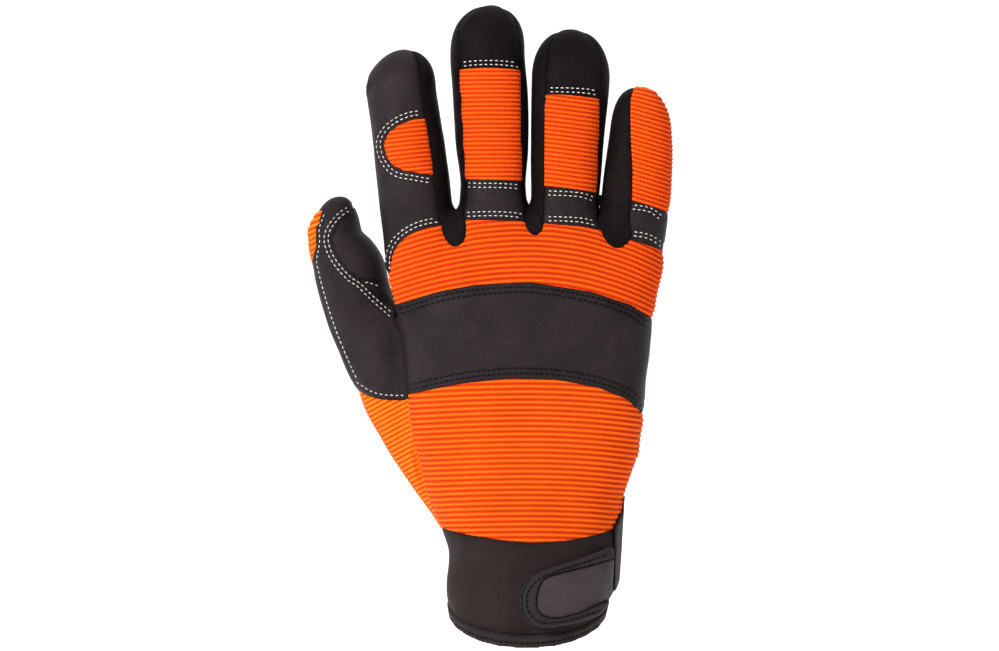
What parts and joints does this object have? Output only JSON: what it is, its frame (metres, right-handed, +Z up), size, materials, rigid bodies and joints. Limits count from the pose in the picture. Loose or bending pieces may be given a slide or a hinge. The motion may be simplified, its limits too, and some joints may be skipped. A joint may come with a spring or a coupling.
{
  "type": "chainsaw glove",
  "caption": "Right-hand chainsaw work glove: black leather palm and fingers, orange ribbed back, padded knuckle band, elastic cuff with a wrist tab.",
  "frame": {"origin": "the lowest point of the wrist opening's rim, in the middle of the hand's thickness", "axes": "+Z up from the wrist to the fingertips, -Y the way the back of the hand faces, -X the side of the thumb"},
  "size_m": [0.1455, 0.063, 0.2561],
  "materials": {
    "black_leather": "matte grained synthetic leather",
    "orange_knit": "ribbed stretch knit",
    "elastic_cloth": "matte knit-faced foam",
    "binding_tape": "matte folded tape",
    "smooth_tab": "satin moulded rubber",
    "hook_tape": "fuzzy hook and loop tape"
  },
  "bodies": {
    "root": {"palm_leather": "black_leather", "index_back_leather": "black_leather", "index_middle_fourchette": "black_leather", "middle_ring_fourchette": "black_leather", "ring_little_fourchette": "black_leather", "middle_tip_cap": "black_leather", "middle_knuckle_strip": "black_leather", "ring_tip_cap": "black_leather", "ring_knuckle_strip": "black_leather", "little_knuckle_strip": "black_leather", "knuckle_band": "black_leather", "thumb_side_leather": "black_leather", "thumb_pad_leather": "black_leather", "thumb_crotch_patch": "black_leather", "closure_strap": "black_leather", "index_knuckle_patch": "orange_knit", "middle_back_rib": "orange_knit", "ring_back_rib": "orange_knit", "little_back_rib": "orange_knit", "back_upper_panel": "orange_knit", "back_lower_panel": "orange_knit", "thumb_back_rib": "orange_knit", "cuff": "elastic_cloth", "hem_binding": "binding_tape", "tab_border": "binding_tape", "tab_face": "smooth_tab", "hook_tape": "hook_tape"}
  },
  "joints": []
}
